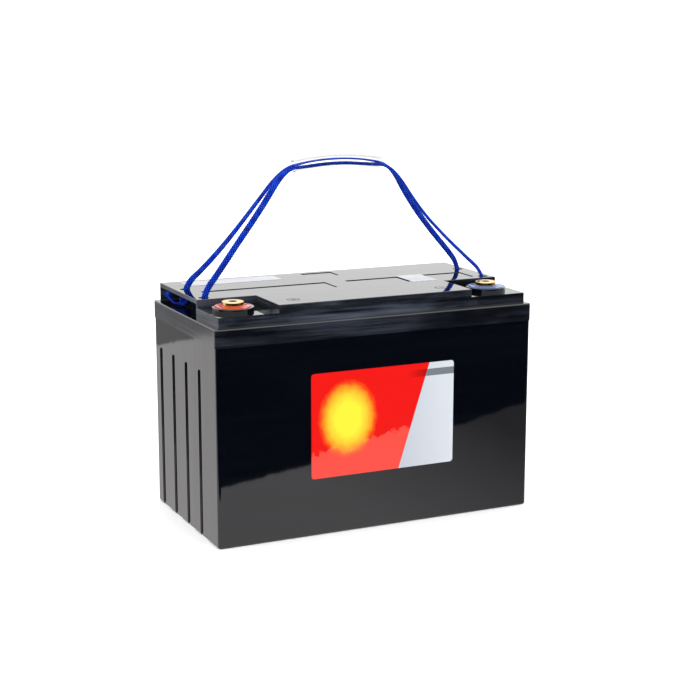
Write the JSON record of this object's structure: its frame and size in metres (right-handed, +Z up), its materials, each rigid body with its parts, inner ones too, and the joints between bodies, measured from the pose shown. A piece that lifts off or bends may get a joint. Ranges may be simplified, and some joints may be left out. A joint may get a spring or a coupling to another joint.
{
  "type": "deep cycle battery",
  "caption": "Sealed lead-acid block battery with threaded brass corner terminals, a raised cover with relief valves and a braided rope handle with a clear grip tube.",
  "frame": {"origin": "middle of the base", "axes": "+X along the long side with the positive terminal at -X, -Y is the front with the large label and the terminals, +Z is up"},
  "size_m": [0.328, 0.172, 0.3479],
  "materials": {
    "black_shell": "glossy moulded",
    "black_rubber": "matte",
    "lead": "dull grey",
    "glass_mat": "white fibre mat",
    "terminal_brass": "machined",
    "red_resin": "glossy cast",
    "blue_resin": "glossy cast",
    "blue_rope": "braided",
    "clear_tube": "clear",
    "red_label": "printed film",
    "white_label": "printed film",
    "white_porous": "porous"
  },
  "bodies": {
    "block": {"arrestor_cover": "black_shell", "case": "black_shell", "cell_connector_1_2": "lead", "cell_connector_2_3": "lead", "cell_connector_3_4": "lead", "cell_connector_4_5": "lead", "cell_connector_5_6": "lead", "cover": "black_shell", "flame_arrestor": "white_porous", "front_label": "red_label", "lid": "black_shell", "negative_collar": "black_shell", "negative_plates_cell_1": "lead", "negative_plates_cell_2": "lead", "negative_plates_cell_3": "lead", "negative_plates_cell_4": "lead", "negative_plates_cell_5": "lead", "negative_plates_cell_6": "lead", "negative_post": "lead", "negative_resin_seal": "blue_resin", "negative_sealing_ring": "black_rubber", "negative_terminal": "terminal_brass", "positive_collar": "black_shell", "positive_plates_cell_1": "lead", "positive_plates_cell_2": "lead", "positive_plates_cell_3": "lead", "positive_plates_cell_4": "lead", "positive_plates_cell_5": "lead", "positive_plates_cell_6": "lead", "positive_post": "lead", "positive_resin_seal": "red_resin", "positive_sealing_ring": "black_rubber", "positive_terminal": "terminal_brass", "rear_top_label": "white_label", "rope_knots": "blue_rope", "separator_mats_cell_1": "glass_mat", "separator_mats_cell_2": "glass_mat", "separator_mats_cell_3": "glass_mat", "separator_mats_cell_4": "glass_mat", "separator_mats_cell_5": "glass_mat", "separator_mats_cell_6": "glass_mat", "side_top_label": "white_label", "vent_cover_left": "black_shell", "vent_cover_right": "black_shell"},
    "handle": {"handle_grip": "clear_tube", "rope_front": "blue_rope", "rope_rear": "blue_rope"},
    "relief_valve_1_body": {"relief_valve_1": "black_rubber"},
    "relief_valve_2_body": {"relief_valve_2": "black_rubber"},
    "relief_valve_3_body": {"relief_valve_3": "black_rubber"},
    "relief_valve_4_body": {"relief_valve_4": "black_rubber"},
    "relief_valve_5_body": {"relief_valve_5": "black_rubber"},
    "relief_valve_6_body": {"relief_valve_6": "black_rubber"}
  },
  "joints": [
    {"name": "handle_swing", "type": "hinge", "parent": "block", "child": "handle", "pos_m": [0, 0.0085, 0.222], "axis": [1, 0, 0], "range_deg": [-80, 80], "stiffness_Nm_per_rad": 0.03, "deforming": ["rope_front", "rope_rear"]},
    {"name": "relief_valve_1_lift", "type": "slide", "parent": "block", "child": "relief_valve_1_body", "axis": [0, 0, 1], "range_m": [0, 0.0008], "stiffness_N_per_m": 40, "springref_m": -0.003},
    {"name": "relief_valve_2_lift", "type": "slide", "parent": "block", "child": "relief_valve_2_body", "axis": [0, 0, 1], "range_m": [0, 0.0008], "stiffness_N_per_m": 40, "springref_m": -0.003},
    {"name": "relief_valve_3_lift", "type": "slide", "parent": "block", "child": "relief_valve_3_body", "axis": [0, 0, 1], "range_m": [0, 0.0008], "stiffness_N_per_m": 40, "springref_m": -0.003},
    {"name": "relief_valve_4_lift", "type": "slide", "parent": "block", "child": "relief_valve_4_body", "axis": [0, 0, 1], "range_m": [0, 0.0008], "stiffness_N_per_m": 40, "springref_m": -0.003},
    {"name": "relief_valve_5_lift", "type": "slide", "parent": "block", "child": "relief_valve_5_body", "axis": [0, 0, 1], "range_m": [0, 0.0008], "stiffness_N_per_m": 40, "springref_m": -0.003},
    {"name": "relief_valve_6_lift", "type": "slide", "parent": "block", "child": "relief_valve_6_body", "axis": [0, 0, 1], "range_m": [0, 0.0008], "stiffness_N_per_m": 40, "springref_m": -0.003}
  ]
}
